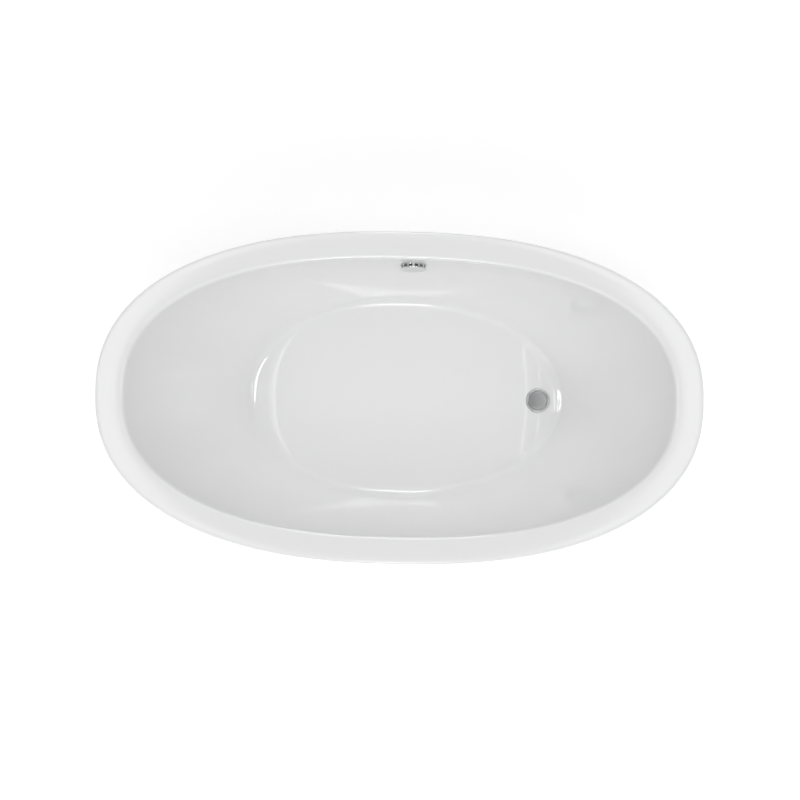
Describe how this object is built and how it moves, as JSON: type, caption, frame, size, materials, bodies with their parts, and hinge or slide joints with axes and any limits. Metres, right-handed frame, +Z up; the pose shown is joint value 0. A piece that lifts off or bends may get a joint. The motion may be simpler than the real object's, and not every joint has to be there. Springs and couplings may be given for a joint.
{
  "type": "freestanding bathtub",
  "caption": "Oval double-walled acrylic bathtub with a flat rim, dished floor, push-open waste, overflow, and a steel frame on levelling feet.",
  "frame": {"origin": "on the floor, under the middle of the rim: the bottom centre of the whole tub's box", "axes": "+Z up; +X along the tub towards the drain end; +Y towards the side with the overflow"},
  "size_m": [1.676, 0.916, 0.585],
  "materials": {
    "basin_acrylic": "white sanitary acrylic, polished",
    "skirt_acrylic": "white sanitary acrylic, polished",
    "adhesive": "cured construction adhesive",
    "board": "resin-bonded chipboard with a thin resin coat",
    "frame_steel": "galvanised square steel tube",
    "galvanised": "galvanised strip",
    "zinc": "bright zinc plating",
    "foot_plastic": "black moulded plastic",
    "chrome": "polished chrome plating",
    "brass": "machined brass",
    "spring_steel": "stainless spring wire",
    "seal_rubber": "black sealing rubber",
    "waste_plastic": "white moulded plastic",
    "nut_plastic": "grey moulded plastic",
    "pipe_plastic": "white plastic pipe",
    "hose_plastic": "pale grey corrugated plastic"
  },
  "bodies": {
    "tub": {"basin": "basin_acrylic", "skirt": "skirt_acrylic", "rim_adhesive": "adhesive", "floor_board": "board", "rail_front": "frame_steel", "rail_back": "frame_steel", "crossbar_head": "frame_steel", "crossbar_middle": "frame_steel", "crossbar_foot": "frame_steel", "rail_end_caps": "foot_plastic", "board_screws": "zinc", "skirt_stays": "galvanised", "stay_screws": "zinc", "weld_nuts": "zinc", "drain_flange": "chrome", "flange_seal": "seal_rubber", "drain_gasket": "seal_rubber", "drain_body": "waste_plastic", "outlet_seal": "seal_rubber", "outlet_nut": "nut_plastic", "tailpiece": "pipe_plastic", "click_cartridge": "brass", "click_spring": "spring_steel", "overflow_cap": "chrome", "overflow_insert": "brass", "overflow_screw": "zinc", "overflow_seal": "seal_rubber", "overflow_gasket": "seal_rubber", "overflow_elbow": "waste_plastic", "overflow_hose": "hose_plastic", "hose_nut_upper": "nut_plastic", "hose_nut_lower": "nut_plastic", "hose_seal_upper": "seal_rubber", "hose_seal_lower": "seal_rubber", "foot_1_lock_nut": "zinc", "foot_2_lock_nut": "zinc", "foot_3_lock_nut": "zinc", "foot_4_lock_nut": "zinc", "foot_5_lock_nut": "zinc"},
    "stopper": {"stopper_cap": "chrome", "stopper_stem": "brass", "stopper_seal": "seal_rubber"},
    "foot_1": {"foot_1_pad": "foot_plastic"},
    "stud_1": {"foot_1_stud": "zinc"},
    "foot_2": {"foot_2_pad": "foot_plastic"},
    "stud_2": {"foot_2_stud": "zinc"},
    "foot_3": {"foot_3_pad": "foot_plastic"},
    "stud_3": {"foot_3_stud": "zinc"},
    "foot_4": {"foot_4_pad": "foot_plastic"},
    "stud_4": {"foot_4_stud": "zinc"},
    "foot_5": {"foot_5_pad": "foot_plastic"},
    "stud_5": {"foot_5_stud": "zinc"}
  },
  "joints": [
    {"name": "stopper_lift", "type": "slide", "parent": "tub", "child": "stopper", "axis": [0, 0, 1], "range_m": [0, 0.01], "deforming": ["click_spring"]},
    {"name": "foot_1_height", "type": "slide", "parent": "tub", "child": "foot_1", "axis": [0, 0, -1], "range_m": [-0.008, 0.02]},
    {"name": "stud_1_turn", "type": "hinge", "parent": "foot_1", "child": "stud_1", "pos_m": [-0.4, -0.19, 0.06], "axis": [0, 0, -1], "range_deg": [-1646, 4115]},
    {"name": "foot_2_height", "type": "slide", "parent": "tub", "child": "foot_2", "axis": [0, 0, -1], "range_m": [-0.008, 0.02]},
    {"name": "stud_2_turn", "type": "hinge", "parent": "foot_2", "child": "stud_2", "pos_m": [0.4, -0.19, 0.06], "axis": [0, 0, -1], "range_deg": [-1646, 4115]},
    {"name": "foot_3_height", "type": "slide", "parent": "tub", "child": "foot_3", "axis": [0, 0, -1], "range_m": [-0.008, 0.02]},
    {"name": "stud_3_turn", "type": "hinge", "parent": "foot_3", "child": "stud_3", "pos_m": [-0.4, 0.19, 0.06], "axis": [0, 0, -1], "range_deg": [-1646, 4115]},
    {"name": "foot_4_height", "type": "slide", "parent": "tub", "child": "foot_4", "axis": [0, 0, -1], "range_m": [-0.008, 0.02]},
    {"name": "stud_4_turn", "type": "hinge", "parent": "foot_4", "child": "stud_4", "pos_m": [0.4, 0.19, 0.06], "axis": [0, 0, -1], "range_deg": [-1646, 4115]},
    {"name": "foot_5_height", "type": "slide", "parent": "tub", "child": "foot_5", "axis": [0, 0, -1], "range_m": [-0.008, 0.02]},
    {"name": "stud_5_turn", "type": "hinge", "parent": "foot_5", "child": "stud_5", "pos_m": [0, 0, 0.06], "axis": [0, 0, -1], "range_deg": [-1646, 4115]}
  ],
  "couplings": [
    {"joint": "stud_1_turn", "follows": "foot_1_height", "rad_per_m": 3590.4},
    {"joint": "stud_2_turn", "follows": "foot_2_height", "rad_per_m": 3590.4},
    {"joint": "stud_3_turn", "follows": "foot_3_height", "rad_per_m": 3590.4},
    {"joint": "stud_4_turn", "follows": "foot_4_height", "rad_per_m": 3590.4},
    {"joint": "stud_5_turn", "follows": "foot_5_height", "rad_per_m": 3590.4}
  ]
}
